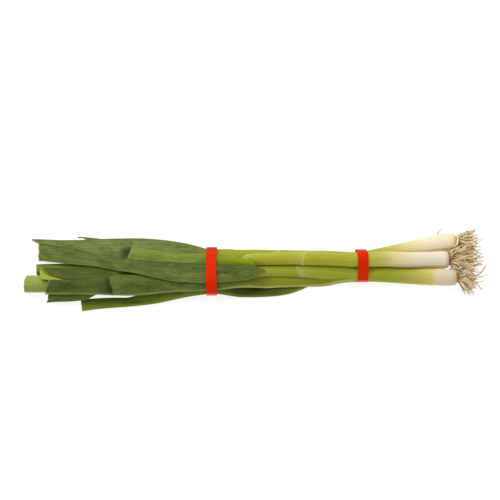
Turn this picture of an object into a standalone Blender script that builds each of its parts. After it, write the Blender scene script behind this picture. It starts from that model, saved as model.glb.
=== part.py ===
"""Spring onion bunch: three spring onions lying side by side, held by two flat rubber bands.

The bunch lies along X with the roots at +X and the cut leaf ends at -X. Every leaf is a flattened tube laid over
the pieces below it, so the stack of leaves rises from the floor without any two pieces touching.
Lengths are in millimetres until each mesh is made in metres.
"""

import math

import bpy
import numpy as np

# Driving dimensions, in millimetres.
GAP = 0.35
BAND_THICKNESS = 0.9
BAND_WIDTH = 9.6
BAND_CHAMFER = 0.2
BAND_FLAT = 0.8
LEAF_BAND_X = -41.7
BULB_BAND_X = 94.2
LEAF_BAND_LEAN = -0.02
BULB_BAND_LEAN = -0.07
FREE_FLOOR = -0.1
SHANK_END_X = -23.0
STATION_STEP = 9.0
BULB_BASE_X = {"front": 180.2, "middle": 174.4, "back": 182.0}
PLATE_LENGTH = 2.2
PLATE_RATIO = 0.62
CAP_DOME = 0.1

# Mesh resolution.
RING_POINTS = 20
BAND_POINTS = 60
ROW_X = np.arange(-225.0, 226.0, STATION_STEP)
ROW_Y = np.arange(-60.0, 60.1, 0.5)

# How sharply a leaf may bend across and along its length: the drop in mm per square mm of distance.
BEND_ACROSS = 0.055
BEND_ALONG = 0.007

# Pseudostems from leaf end to base. Each row: X, Y, Z of the axis, radius.
SHANKS = {
    "front": [
        (-23, -1.6, 6.9, 5.4), (-15, -1.3, 7.0, 5.6), (38, 0.0, 7.6, 6.3), (65, -1.0, 7.8, 6.4),
        (94, -2.6, 7.9, 6.6), (115, -3.7, 7.85, 6.55), (136, -5.0, 7.2, 6.5), (155, -6.1, 7.3, 6.8),
        (169, -6.7, 7.6, 7.15), (182, -6.8, 7.6, 7.2),
    ],
    "middle": [
        (-23, 7.8, 13.4, 5.2), (-15, 7.8, 14.2, 5.4), (38, 7.5, 18.0, 6.0), (65, 6.4, 18.9, 6.2),
        (94, 5.0, 19.7, 6.6), (115, 6.4, 18.2, 6.8), (136, 7.3, 14.7, 7.2), (155, 9.6, 10.5, 7.6),
        (169, 11.0, 8.5, 8.0), (182, 11.1, 8.4, 8.0),
    ],
    "back": [
        (-23, 16.7, 6.9, 5.4), (-15, 16.7, 7.0, 5.5), (38, 14.5, 7.4, 6.2), (65, 13.6, 7.9, 6.4),
        (94, 12.3, 8.0, 6.7), (115, 16.8, 8.2, 6.9), (136, 22.2, 7.8, 7.3), (155, 26.6, 8.2, 7.8),
        (169, 29.2, 8.5, 8.1), (184, 29.6, 8.5, 8.1),
    ],
}

# Leaves from the cut end to the collar. Each row: X, front edge Y, back edge Y, wished height of the underside
# at the front and back edges, thickness. A leaf that would touch a piece below it is laid on top of that piece.
LEAVES = {
    "leaf_tube_back": [
        (-201, -3.2, 7.8, 0, 0, 10.0), (-142, -2.0, 10.0, 0, 0, 9.0), (-88, -1.8, 12.5, 0, 0, 8.6),
        (-42, 2.2, 18.0, 0, 0, 8.4), (-23.4, 11.4, 22.0, 0, 0, 10.6),
    ],
    "leaf_tube_front": [
        (-210, -21.2, -5.9, 0, 0, 15.4), (-186, -21.2, -5.9, 0, 0, 15.2), (-142, -20.0, -4.6, 0, 0, 12.6),
        (-88, -19.4, -3.6, 0, 0, 10.0), (-42, -17.2, -0.6, 0, 0, 8.4), (-23.4, -7.0, 3.8, 0, 0, 10.6),
    ],
    "leaf_sliver": [
        (-161, 34.2, 35.6, 7, 8, 0.8), (-145, 29.0, 34.0, 6, 7, 1.4), (-115, 21.0, 29.5, 4, 4, 3.0),
        (-70, 16.5, 22.8, 2, 2, 6.0), (-58, 17.6, 21.8, 3, 3, 5.0),
    ],
    "leaf_low": [
        (-159, -38.0, -25.8, 0, 0, 2.0), (-140, -35.2, -24.2, 0, 0, 2.0), (-116, -33.2, -23.6, 0, 0, 2.0),
        (-100, -31.4, -21.6, 0, 0, 2.4),
        (-87, -29.5, -19.8, 0, 0, 3.0),
        (-60, -25.4, -18.6, 0, 0, 4.5), (-42, -23.4, -17.2, 0, 0, 6.0), (-15, -24.0, -9.5, 0, 0, 3.4),
        (13, -23.0, -8.5, 0, 0, 3.0), (34, -18.5, -8.5, 0, 0, 2.4), (47, -12.0, -8.8, 0, 0, 1.2),
    ],
    "leaf_flap": [
        (-189, -31.2, -21.5, 2, 8, 1.6), (-160, -29.8, -19.5, 2, 7, 1.8), (-150, -28.0, -18.0, 4, 7, 1.8),
        (-143, -24.8, -16.0, 4, 7, 1.8),
        (-120, -22.6, -13.0, 6, 8, 2.0), (-75, -22.0, -12.0, 7, 10, 2.2),
    ],
    "leaf_split": [
        (-197, -14.5, -0.5, 13, 12, 2.4), (-142, -15.5, 2.0, 12, 11, 2.8), (-88, -13.0, 4.5, 10, 10, 3.6),
        (-42, -8.0, 9.5, 9, 9, 5.0), (-23.4, 3.2, 12.4, 7, 7, 7.4),
    ],
    "leaf_creased": [
        (-190, -27.0, -15.6, 8, 15, 2.2), (-150, -27.0, -14.0, 7, 15, 2.4), (-115, -27.2, -9.5, 7, 15, 2.8),
        (-88, -25.4, -10.5, 8, 15, 3.0), (-60, -24.0, -12.6, 9, 16, 3.0), (-42, -23.6, -13.0, 10, 16, 3.0),
        (-15, -19.0, -9.4, 3, 8, 2.6), (13, -15.8, -7.4, 2, 6.5, 2.4), (38, -14.4, -7.5, 1, 5.5, 2.2),
        (65, -11.4, -8.2, 1, 4.5, 1.8), (84, -9.9, -9.0, 2, 3.5, 1.0),
    ],
    "leaf_upper": [
        (-201, 15.0, 31.7, 8, 8, 1.8), (-165, 13.0, 31.4, 10, 9, 2.0), (-130, 8.0, 31.5, 12, 11, 2.4),
        (-100, 5.0, 30.6, 14, 12, 3.0), (-80, 3.5, 28.4, 13, 12, 3.0), (-60, 3.5, 24.8, 13, 11, 2.8),
        (-42, 4.0, 19.9, 12, 10, 2.6),
        (-27, 3.5, 18.0, 13, 11, 2.2), (-11, 4.2, 14.0, 14, 14, 1.6),
    ],
    "leaf_stripe": [
        (-118, 6.5, 17.6, 14, 14, 1.4), (-108, 4.4, 17.6, 15, 15, 2.4), (-88, 2.0, 15.4, 16, 15, 3.0),
        (-60, -2.0, 12.5, 16, 16, 3.0), (-42, -4.5, 10.5, 14, 14, 2.4), (-15, -5.5, 5.0, 12, 14, 2.0),
        (-1, -5.6, 2.6, 11, 12, 1.4),
    ],
    "leaf_wide": [
        (-196, 7.2, 25.5, 11, 11, 2.0), (-163, 3.4, 19.0, 12, 12, 2.2), (-142, -0.6, 11.9, 13, 13, 2.6),
        (-101, -11.5, 3.6, 16, 17, 3.0), (-71, -17.4, 1.7, 15, 16, 2.8), (-42, -18.6, -1.0, 14, 15, 2.4),
        (-15, -15.0, -2.5, 10, 13, 2.0), (0, -11.0, -3.6, 9, 12, 1.6), (7.5, -8.4, -5.8, 10, 11, 1.0),
    ],
}

# Root tufts. Each row: distance from the root plate, Y and Z of the middle, half widths across and upright.
TUFTS = {
    "front": [
        (0.0, -6.8, 7.6, 4.0, 4.0), (5.0, -7.2, 7.6, 5.8, 5.6), (11.0, -8.4, 7.6, 7.2, 6.6),
        (17.0, -9.4, 7.4, 6.6, 6.0), (22.0, -9.8, 7.2, 3.6, 3.6),
    ],
    "middle": [
        (0.0, 11.0, 8.4, 4.4, 4.4), (5.0, 11.8, 8.6, 6.0, 6.0), (13.0, 13.4, 9.0, 7.0, 7.6),
        (22.0, 13.6, 9.2, 6.2, 6.8), (28.0, 13.0, 9.0, 3.2, 3.6),
    ],
    "back": [
        (0.0, 29.6, 8.5, 4.4, 4.4), (4.0, 30.2, 8.8, 6.0, 6.2), (9.0, 31.2, 9.2, 7.6, 7.8),
        (14.0, 31.6, 9.6, 7.0, 7.2), (19.0, 31.2, 9.6, 3.2, 3.8),
    ],
}

COLOURS = {
    "shank": (0.62, 0.62, 0.30),
    "root_plate": (0.45, 0.32, 0.18),
    "roots": (0.66, 0.58, 0.40),
    "leaf": (0.13, 0.21, 0.06),
    "band": (0.78, 0.05, 0.02),
}


def clear_scene():
    """Remove whatever the new file came with."""
    for found in list(bpy.data.objects):
        bpy.data.objects.remove(found, do_unlink=True)


def through(keys, x):
    """Values at x on the smooth curves through rows of keys, whose first column is the position."""
    keys = np.array(keys, float)
    at, values = keys[:, 0], keys[:, 1:]
    slopes = np.gradient(values, at, axis=0)
    steps = np.diff(values, axis=0) / np.diff(at)[:, None]
    # A slope is kept gentle where the values level out, so that the curve never overshoots them.
    limit = np.minimum(np.abs(np.vstack([steps[:1], steps])), np.abs(np.vstack([steps, steps[-1:]])))
    slopes = np.clip(slopes, -2.5 * limit, 2.5 * limit)
    x = np.clip(np.asarray(x, float), at[0], at[-1])
    i = np.clip(np.searchsorted(at, x, side="right") - 1, 0, len(at) - 2)
    span = (at[i + 1] - at[i])[:, None]
    t = ((x - at[i]) / (at[i + 1] - at[i]))[:, None]
    hermite = (
        (2 * t**3 - 3 * t**2 + 1) * values[i]
        + (t**3 - 2 * t**2 + t) * span * slopes[i]
        + (3 * t**2 - 2 * t**3) * values[i + 1]
        + (t**3 - t**2) * span * slopes[i + 1]
    )
    return hermite


def floor_height(x):
    """Where the lowest pieces lie: on the inside of a band where there is one, and almost on the floor elsewhere."""
    on_band = BAND_THICKNESS
    nearest = np.minimum(np.abs(x - LEAF_BAND_X), np.abs(x - BULB_BAND_X))
    blend = np.clip((nearest - 12.0) / 30.0, 0.0, 1.0)
    return on_band + (FREE_FLOOR - on_band) * blend * blend * (3 - 2 * blend)


def stations(start, end):
    """The shared rows between two ends, with the ends themselves."""
    inside = ROW_X[(ROW_X > start + 2.0) & (ROW_X < end - 2.0)]
    return np.concatenate([[start], inside, [end]])


def round_rings(x, y, z, radius):
    """Rings of a round stem, one at each station."""
    turn = np.linspace(0, 2 * math.pi, RING_POINTS, endpoint=False)
    across = y[:, None] + radius[:, None] * np.cos(turn)
    up = z[:, None] + radius[:, None] * np.sin(turn)
    return np.stack([np.broadcast_to(x[:, None], across.shape), across, up], axis=2)


class Pile:
    """The upper surface of everything laid down so far, as heights over rows of X and Y."""

    def __init__(self):
        self.height = np.repeat(floor_height(ROW_X)[:, None], len(ROW_Y), axis=1)

    def add(self, rows, top):
        """Raise the pile to a piece's top surface over the piece's rows."""
        self.height[rows] = np.maximum(self.height[rows], top[rows])

    def below(self, last):
        """The heights, carried on unchanged past the last row that a piece may look at."""
        height = self.height.copy()
        height[last + 1 :] = height[last]
        return height

    def underside(self, front, back, wished, rows, last):
        """The smooth surface that a leaf lies on, which clears the pile under the leaf by the gap."""
        under = (ROW_Y >= front[:, None] - 0.8) & (ROW_Y <= back[:, None] + 0.8) & rows[:, None]
        blocked = np.where(under, self.below(last) + GAP, -1e3)
        blocked = np.maximum(blocked, np.where(under, wished, -1e3))
        across = spread(blocked, ROW_Y[1] - ROW_Y[0], BEND_ACROSS, 60)
        return spread(across.T, STATION_STEP, BEND_ALONG, 6).T


def spread(height, step, bend, reach):
    """The lowest surface above the given heights that bends no more sharply than asked, along the last axis."""
    padded = np.pad(height, [(0, 0), (reach, reach)], constant_values=-1e3)
    count = height.shape[1]
    drops = [padded[:, k : k + count] - bend * ((k - reach) * step) ** 2 for k in range(2 * reach + 1)]
    return np.max(drops, axis=0)


def lay_shank(pile, side):
    """A pseudostem with its bulb: round rings that close in at the base."""
    base = BULB_BASE_X[side]
    rounding = base - np.array([14.0, 9.0, 5.5, 3.0, 1.3, 0.0])
    shared = stations(SHANK_END_X, base - 18.0)
    x = np.concatenate([shared, rounding])
    y, z, radius = through(SHANKS[side], x).T
    from_base = np.clip((base - x) / 9.0, 0.0, 1.0)
    radius = radius * (PLATE_RATIO + (1 - PLATE_RATIO) * np.sqrt(1 - (1 - from_base) ** 2.6))
    row_y, row_z, row_radius = through(SHANKS[side], ROW_X).T
    inside = np.maximum(row_radius[:, None] ** 2 - (ROW_Y - row_y[:, None]) ** 2, 0)
    top = np.where(inside > 0, row_z[:, None] + np.sqrt(inside), -1e3)
    pile.add((ROW_X >= SHANK_END_X) & (ROW_X <= base + STATION_STEP), top)
    return round_rings(x, y, z, radius)


def lay_leaf(pile, keys):
    """A leaf laid on the pile: a flattened tube whose underside follows what is below it.

    A leaf that ends against the shanks goes on from one of them, so it looks no further than its own end.
    """
    start, end = keys[0][0], keys[-1][0]
    rows = (ROW_X >= start - STATION_STEP) & (ROW_X <= end + STATION_STEP)
    joined = abs(end - SHANK_END_X) < 1.0
    last = int(np.searchsorted(ROW_X, end)) - 1 if joined else len(ROW_X) - 1
    front, back, low_front, low_back, thick = through(keys, ROW_X).T
    middle, half = (front + back) / 2, (back - front) / 2
    part = np.clip((ROW_Y - front[:, None]) / (2 * half[:, None]), 0, 1)
    wished = low_front[:, None] + (low_back - low_front)[:, None] * part
    base = pile.underside(front, back, wished, rows, last)
    u = np.clip((ROW_Y - middle[:, None]) / half[:, None], -1, 1)
    top = base + thick[:, None] / 2 * (1 + np.sqrt(1 - u**2))
    near = np.abs(ROW_Y - middle[:, None]) <= half[:, None] + 0.8
    pile.add(rows & (np.arange(len(ROW_X)) <= last), np.where(near, top, -1e3))
    return leaf_rings(keys, base)


def leaf_rings(keys, base):
    """Rings of a leaf at its own stations, from the surface that it lies on."""
    x = stations(keys[0][0], keys[-1][0])
    front, back, _, _, thick = through(keys, x).T
    middle, half = (front + back) / 2, (back - front) / 2
    turn = np.linspace(0, 2 * math.pi, RING_POINTS, endpoint=False)
    y = middle[:, None] + half[:, None] * np.cos(turn)
    z = sample(base, x, y) + thick[:, None] / 2 * (1 + np.sin(turn))
    return np.stack([np.broadcast_to(x[:, None], y.shape), y, z], axis=2)


def sample(surface, x, y):
    """Heights of a surface of rows, in between its rows and columns."""
    row = np.clip((x - ROW_X[0]) / STATION_STEP, 0, len(ROW_X) - 1.001)
    column = np.clip((y - ROW_Y[0]) / (ROW_Y[1] - ROW_Y[0]), 0, len(ROW_Y) - 1.001)
    i, j = row.astype(int)[:, None], column.astype(int)
    s, t = (row % 1)[:, None], column % 1
    near = surface[i, j] * (1 - t) + surface[i, j + 1] * t
    far = surface[i + 1, j] * (1 - t) + surface[i + 1, j + 1] * t
    return near * (1 - s) + far * s


def plate_rings(side):
    """The root plate: a short dome on the base of a bulb."""
    start = BULB_BASE_X[side] + GAP + CAP_DOME
    along = np.array([0.0, 0.35, 0.75, 1.0])
    x = start + PLATE_LENGTH * along
    y, z, radius = through(SHANKS[side], np.full(4, start)).T
    return round_rings(x, y, z, radius * (PLATE_RATIO - 0.04) * np.array([1.0, 0.98, 0.84, 0.62]))


def tuft_rings(side, lobes=7):
    """A tuft of roots as one lobed brush that widens from the root plate and closes at its tips."""
    start = BULB_BASE_X[side] + PLATE_LENGTH + 2 * GAP + 3 * CAP_DOME
    reach = TUFTS[side][-1][0]
    along = np.linspace(0, reach, 9)
    y, z, wide, tall = through(TUFTS[side], along).T
    turn = np.linspace(0, 2 * math.pi, RING_POINTS, endpoint=False)
    lobe = 1 - 0.12 * (along / reach)[:, None] * (1 + np.cos(lobes * turn + 1.7 * along[:, None] / reach)) / 2
    across = y[:, None] + wide[:, None] * np.cos(turn) * lobe
    up = z[:, None] + tall[:, None] * np.sin(turn) * lobe
    x = np.broadcast_to((start + along)[:, None], across.shape)
    return np.stack([x, across, up], axis=2)


def outline_at(pieces, x):
    """Every point where the plane at x cuts the ring grids of the pieces."""
    found = []
    for rings in pieces:
        at = rings[:, 0, 0]
        if at[0] <= x <= at[-1]:
            i = min(int(np.searchsorted(at, x, side="right")) - 1, len(at) - 2)
            t = (x - at[i]) / (at[i + 1] - at[i])
            found.append((rings[i] * (1 - t) + rings[i + 1] * t)[:, 1:])
    return np.vstack(found)


def hull(points):
    """The convex outline round points in a plane, anticlockwise."""
    points = points[np.lexsort((points[:, 1], points[:, 0]))]

    def chain(ordered):
        kept = []
        for p in ordered:
            while len(kept) > 1 and turns_right(kept[-2], kept[-1], p):
                kept.pop()
            kept.append(p)
        return kept[:-1]

    return np.array(chain(points) + chain(points[::-1]))


def turns_right(a, b, c):
    """Whether the path from a through b to c fails to turn left."""
    return (b[0] - a[0]) * (c[1] - a[1]) - (b[1] - a[1]) * (c[0] - a[0]) <= 1e-9


def stretched_path(outline, offset, count):
    """An even loop of points at a distance outside a convex outline, with the outward direction at each."""
    corner_turn = np.linspace(0, 2 * math.pi, 48, endpoint=False)
    circle = offset * np.stack([np.cos(corner_turn), np.sin(corner_turn)], axis=1)
    grown = hull((outline[:, None, :] + circle).reshape(-1, 2))
    closed = np.vstack([grown, grown[:1]])
    length = np.concatenate([[0], np.cumsum(np.linalg.norm(np.diff(closed, axis=0), axis=1))])
    even = np.linspace(0, length[-1], count, endpoint=False)
    path = np.stack([np.interp(even, length, closed[:, k]) for k in (0, 1)], axis=1)
    along = np.roll(path, -1, axis=0) - np.roll(path, 1, axis=0)
    along /= np.linalg.norm(along, axis=1)[:, None]
    return path, np.stack([along[:, 1], -along[:, 0]], axis=1)


def band_rings(pieces, middle_x, lean):
    """A flat rubber band stretched round the pieces: one ring of its section at each point of the loop."""
    half, cut = BAND_WIDTH / 2, BAND_CHAMFER
    xs = middle_x + np.linspace(-1, 1, 7) * (half + 1.4)
    outline = hull(np.vstack([outline_at(pieces, x) for x in xs]))
    lowest = BAND_THICKNESS + GAP
    outline[:, 1] = np.where(outline[:, 1] < lowest + BAND_FLAT, lowest, outline[:, 1])
    path, outward = stretched_path(outline, GAP, BAND_POINTS)
    under = path[:, 1] < BAND_THICKNESS + 0.02
    path[under, 1] = BAND_THICKNESS
    outward[under] = (0.0, -1.0)
    section = [
        (-half, cut), (-half + cut, 0), (half - cut, 0), (half, cut),
        (half, BAND_THICKNESS - cut), (half - cut, BAND_THICKNESS),
        (-half + cut, BAND_THICKNESS), (-half, BAND_THICKNESS - cut),
    ]
    along, out = np.array(section).T
    x = middle_x + lean * (path[:, :1] - path[:, 0].mean()) + along
    yz = path[:, None, :] + outward[:, None, :] * out[None, :, None]
    return np.concatenate([x[:, :, None], yz], axis=2)


def ring_faces(rings, count, closed):
    """Quads between neighbouring rings, and from the last back to the first where the rings form a loop."""
    last = rings if closed else rings - 1
    i, j = np.meshgrid(np.arange(last), np.arange(count), indexing="ij")
    next_i, next_j = (i + 1) % rings, (j + 1) % count
    corners = [i * count + j, next_i * count + j, next_i * count + next_j, i * count + next_j]
    return np.stack(corners, axis=2).reshape(-1, 4).tolist()


def capped(rings):
    """Points and faces of rings in a row, closed at both ends by a low cone."""
    count = rings.shape[1]
    first, last = rings[0].mean(axis=0), rings[-1].mean(axis=0)
    along = np.array([CAP_DOME, 0, 0])
    points = np.vstack([rings.reshape(-1, 3), first - along, last + along])
    a, b = len(points) - 2, len(points) - 1
    end = (len(rings) - 1) * count
    ring = np.arange(count)
    after = (ring + 1) % count
    start_fan = np.stack([np.full(count, a), ring, after], axis=1).tolist()
    end_fan = np.stack([np.full(count, b), end + after, end + ring], axis=1).tolist()
    return points, ring_faces(len(rings), count, False) + start_fan + end_fan


def looped(rings):
    """Points and faces of rings that form a closed loop."""
    return rings.reshape(-1, 3), ring_faces(len(rings), rings.shape[1], True)


def turned_outward(points, faces):
    """The faces with their order reversed if they look inward."""
    volume = 0.0
    for face in faces:
        a, b, c = points[face[0]], points[face[1]], points[face[2]]
        volume += np.dot(a, np.cross(b, c))
        if len(face) == 4:
            volume += np.dot(a, np.cross(c, points[face[3]]))
    return faces if volume > 0 else [face[::-1] for face in faces]


def material_for(name):
    """The node's own material, coloured after its kind."""
    kind = next(k for k in COLOURS if name.startswith(k))
    material = bpy.data.materials.new(name)
    material.use_nodes = True
    shader = material.node_tree.nodes["Principled BSDF"]
    shader.inputs["Base Color"].default_value = (*COLOURS[kind], 1)
    shader.inputs["Roughness"].default_value = 0.35 if kind == "band" else 0.6
    return material


def add_node(name, points, faces):
    """One named object in metres, smooth all over except on the flat sides of a band."""
    mesh = bpy.data.meshes.new(name)
    mesh.from_pydata((points / 1000).tolist(), [], turned_outward(points, faces))
    mesh.polygons.foreach_set("use_smooth", [not name.startswith("band")] * len(faces))
    mesh.materials.append(material_for(name))
    mesh.update()
    bpy.context.scene.collection.objects.link(bpy.data.objects.new(name, mesh))


def bunch():
    """Every piece as (points, faces), by name, before the bunch is set over its origin."""
    pile = Pile()
    rings = {f"shank_{side}": lay_shank(pile, side) for side in ("front", "back", "middle")}
    rings |= {name: lay_leaf(pile, keys) for name, keys in LEAVES.items()}
    held = list(rings.values())
    rings |= {f"root_plate_{side}": plate_rings(side) for side in SHANKS}
    rings |= {f"roots_{side}": tuft_rings(side) for side in SHANKS}
    pieces = {name: capped(grid) for name, grid in rings.items()}
    pieces["band_leaf_end"] = looped(band_rings(held, LEAF_BAND_X, LEAF_BAND_LEAN))
    pieces["band_bulb_end"] = looped(band_rings(held, BULB_BAND_X, BULB_BAND_LEAN))
    return pieces


def main():
    """Build the bunch over its origin: the middle of its box in X and Y, on the floor in Z."""
    clear_scene()
    pieces = bunch()
    every = np.vstack([points for points, _ in pieces.values()])
    low, high = every.min(axis=0), every.max(axis=0)
    shift = np.array([-(low[0] + high[0]) / 2, -(low[1] + high[1]) / 2, -low[2]])
    for name, (points, faces) in pieces.items():
        add_node(name, points + shift, faces)


main()
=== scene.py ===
"""A bunch of three spring onions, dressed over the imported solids.

The bunch lies along X, with its roots at +X and its cut leaves at -X. Every piece is worked out in
millimetres from the solid that it stands for, and put into its mesh in metres.
"""

import logging
import math
from dataclasses import dataclass
from enum import Enum
from typing import Sequence, Union

import bpy
import numpy as np
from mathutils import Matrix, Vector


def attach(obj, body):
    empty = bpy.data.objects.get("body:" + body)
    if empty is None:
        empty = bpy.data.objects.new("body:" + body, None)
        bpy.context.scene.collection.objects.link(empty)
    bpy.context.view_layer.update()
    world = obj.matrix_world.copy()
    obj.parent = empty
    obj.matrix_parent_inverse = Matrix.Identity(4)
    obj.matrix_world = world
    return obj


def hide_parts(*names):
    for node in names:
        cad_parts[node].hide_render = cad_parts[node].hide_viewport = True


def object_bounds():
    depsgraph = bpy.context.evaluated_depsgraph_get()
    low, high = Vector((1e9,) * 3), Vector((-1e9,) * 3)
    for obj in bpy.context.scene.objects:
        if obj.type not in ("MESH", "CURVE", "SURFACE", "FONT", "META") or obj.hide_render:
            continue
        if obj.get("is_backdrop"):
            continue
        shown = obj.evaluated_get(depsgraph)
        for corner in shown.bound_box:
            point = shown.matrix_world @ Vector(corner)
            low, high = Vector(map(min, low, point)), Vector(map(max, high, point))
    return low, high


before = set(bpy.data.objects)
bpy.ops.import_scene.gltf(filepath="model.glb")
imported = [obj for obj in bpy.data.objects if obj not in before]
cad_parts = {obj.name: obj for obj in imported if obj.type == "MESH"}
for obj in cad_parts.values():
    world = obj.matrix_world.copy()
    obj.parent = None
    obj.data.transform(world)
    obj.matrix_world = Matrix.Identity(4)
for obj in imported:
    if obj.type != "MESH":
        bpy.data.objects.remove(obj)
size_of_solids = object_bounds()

LOG = logging.getLogger("spring_onions")
MM = 0.001
BODY = "root"
Array = np.ndarray
Number = Union[float, "Wire"]


# ---------------------------------------------------------------- shader arithmetic


def paint(red: float, green: float, blue: float) -> tuple[float, float, float, float]:
    """A display colour of 0 to 255 per channel, as the linear colour that shaders use."""
    values = np.array([red, green, blue]) / 255.0
    linear = np.where(values <= 0.04045, values / 12.92, ((values + 0.055) / 1.055) ** 2.4)
    return (*[float(v) for v in linear], 1.0)


@dataclass(frozen=True)
class Wire:
    """One output socket of a material graph, with ordinary arithmetic on it."""

    graph: "Graph"
    socket: bpy.types.NodeSocket

    def _math(self, operation: str, *values: Number) -> "Wire":
        """The result of one Math node on the values in order."""
        sockets = {index: value for index, value in enumerate(values)}
        return self.graph.node("ShaderNodeMath", {"operation": operation}, sockets)

    def __add__(self, other: Number) -> "Wire":
        """self + other."""
        return self._math("ADD", self, other)

    __radd__ = __add__

    def __mul__(self, other: Number) -> "Wire":
        """self * other."""
        return self._math("MULTIPLY", self, other)

    __rmul__ = __mul__

    def __sub__(self, other: Number) -> "Wire":
        """self - other."""
        return self._math("SUBTRACT", self, other)

    def __rsub__(self, other: Number) -> "Wire":
        """other - self."""
        return self._math("SUBTRACT", other, self)

    def step(self, low: float, high: float) -> "Wire":
        """A smooth rise from 0 at low to 1 at high.

        Args:
            low: The value that gives 0.
            high: The value that gives 1.
        Returns:
            The eased result, between 0 and 1.
        """
        settings = {"interpolation_type": "SMOOTHSTEP"}
        return self.graph.node("ShaderNodeMapRange", settings, {0: self, 1: low, 2: high, 3: 0.0, 4: 1.0})


class Graph:
    """The node tree of one material, ending in one Principled shader."""

    def __init__(self, name: str) -> None:
        """Make an empty material of this name."""
        self.material = bpy.data.materials.new(name)
        self.material.use_nodes = True
        self.tree = self.material.node_tree
        self.shader = self.tree.nodes["Principled BSDF"]

    def node(self, kind: str, settings: dict, sockets: dict, output: Union[int, str] = 0) -> Wire:
        """Add a node and wire its inputs.

        Args:
            kind: The node's type name.
            settings: The node's own properties.
            sockets: Input index or name to a number, a tuple or a Wire.
            output: Which output to return.
        Returns:
            The chosen output.
        """
        made = self.tree.nodes.new(kind)
        for name, value in settings.items():
            setattr(made, name, value)
        for key, value in sockets.items():
            self.join(made.inputs[key], value)
        return Wire(self, made.outputs[output])

    def join(self, socket: bpy.types.NodeSocket, value: object) -> None:
        """Wire a value into a socket, or set it there."""
        if isinstance(value, Wire):
            self.tree.links.new(value.socket, socket)
        else:
            socket.default_value = value

    def attribute(self, name: str) -> Wire:
        """A number that the mesh holds at every vertex."""
        return self.node("ShaderNodeAttribute", {"attribute_name": name}, {}, "Fac")

    def place(self, x: float, y: float, z: float) -> Wire:
        """The piece's own coordinates, scaled by one factor for each axis."""
        where = self.node("ShaderNodeTexCoord", {}, {}, "Object")
        return self.node("ShaderNodeVectorMath", {"operation": "MULTIPLY"}, {0: where, 1: (x, y, z)})

    def vector(self, x: Number, y: Number, z: Number = 0.0) -> Wire:
        """Three numbers as one vector."""
        return self.node("ShaderNodeCombineXYZ", {}, {0: x, 1: y, 2: z})

    def noise(self, where: Wire, scale: float, detail: float = 3.0, rough: float = 0.55) -> Wire:
        """Soft random values round one half."""
        sockets = {"Vector": where, "Scale": scale, "Detail": detail, "Roughness": rough}
        return self.node("ShaderNodeTexNoise", {"noise_dimensions": "3D"}, sockets, "Fac")

    def mix(self, amount: Number, first: object, second: object) -> Wire:
        """A colour between two, by an amount from 0 to 1."""
        settings = {"data_type": "RGBA", "clamp_factor": True}
        return self.node("ShaderNodeMix", settings, {0: amount, 6: first, 7: second}, 2)

    def bump(self, height: Wire, strength: float, distance_mm: float) -> Wire:
        """A normal that leans with a height."""
        sockets = {"Height": height, "Strength": strength, "Distance": distance_mm * MM}
        return self.node("ShaderNodeBump", {}, sockets, "Normal")

    def finish(self, **sockets: object) -> bpy.types.Material:
        """Join values to the shader by socket name, underscores for spaces, and return the material."""
        for name, value in sockets.items():
            self.join(self.shader.inputs[name.replace("_", " ")], value)
        return self.material


# ---------------------------------------------------------------- finishes


class Finish:
    """The look of one kind of piece."""

    def make(self, node: str) -> bpy.types.Material:
        """Build the material for the piece that stands for a node."""
        raise NotImplementedError


@dataclass(frozen=True)
class LeafFinish(Finish):
    """A waxy leaf: dark blade, paler young end, pale rims, a paler inner side, and painted shade and painted
    highlight by creases and edges.
    """

    blade: tuple = (60, 77, 10)
    bloom: tuple = (126, 142, 64)
    young: tuple = (150, 160, 30)
    rim: tuple = (188, 190, 112)
    inside: tuple = (146, 152, 34)
    # The colour of the painted shade in creases, along folded edges and over shaded stretches.
    dark: tuple = (34, 44, 8)
    bloom_amount: float = 0.7
    roughness: float = 0.55

    def make(self, node: str) -> bpy.types.Material:
        """Build the material; it reads the vertex numbers age, rim, inner, shade, across and along."""
        g = Graph(f"{node}_finish")
        age, rim, inner, shade = (g.attribute(n) for n in ("age", "rim", "inner", "shade"))
        across, along = g.attribute("across"), g.attribute("along")
        lengthwise = g.vector(along * 0.012, across * 1.0, inner)
        veins = g.noise(lengthwise, 2.1, 2.0)
        fine = g.noise(g.vector(along * 0.03, across * 2.6, 7.0), 2.0, 2.0)
        blotches = g.noise(g.vector(along * 0.10, across * 0.34, 3.0), 0.7, 4.0, 0.62)
        grain = g.noise(g.vector(along * 0.9, across * 1.4, 11.0), 1.6, 3.0, 0.7)
        specks = g.noise(g.vector(along * 1.6, across * 2.4, 5.0), 2.2, 2.0, 0.6)
        wax = (blotches.step(0.32, 0.68) * 0.7 + grain.step(0.38, 0.64) * 0.95 + 0.02) * self.bloom_amount
        green = g.mix(wax * age, paint(*self.blade), paint(*self.bloom))
        green = g.mix((veins - 0.45) * 1.3 + 0.1, green, paint(*[c * 0.66 for c in self.blade]))
        green = g.mix(fine.step(0.4, 0.62) * 0.4, green, paint(*[c * 0.8 for c in self.blade]))
        green = g.mix(specks.step(0.58, 0.72) * 0.9 * blotches, green, paint(156, 168, 90))
        dim_young = paint(*[c * 0.86 for c in self.young])
        young = g.mix(fine.step(0.3, 0.7) * 0.45, paint(*self.young), dim_young)
        colour = g.mix(age + (blotches - 0.5) * 0.18, young, green)
        # Painted shade where the shade number is above zero, and a painted highlight in the bloom colour
        # where it is below zero.
        colour = g.mix(shade * 0.85, colour, paint(*self.dark))
        colour = g.mix(shade * -0.6, colour, paint(*self.bloom))
        colour = g.mix(rim * 0.9, colour, paint(*self.rim))
        colour = g.mix(inner, colour, paint(*self.inside))
        height = veins * 0.6 + fine * 0.35 + grain * 0.25
        return g.finish(
            Base_Color=colour,
            Roughness=self.roughness + grain.step(0.3, 0.8) * 0.16,
            Specular_IOR_Level=0.12,
            Normal=g.bump(height, 0.5, 0.22),
        )


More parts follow.
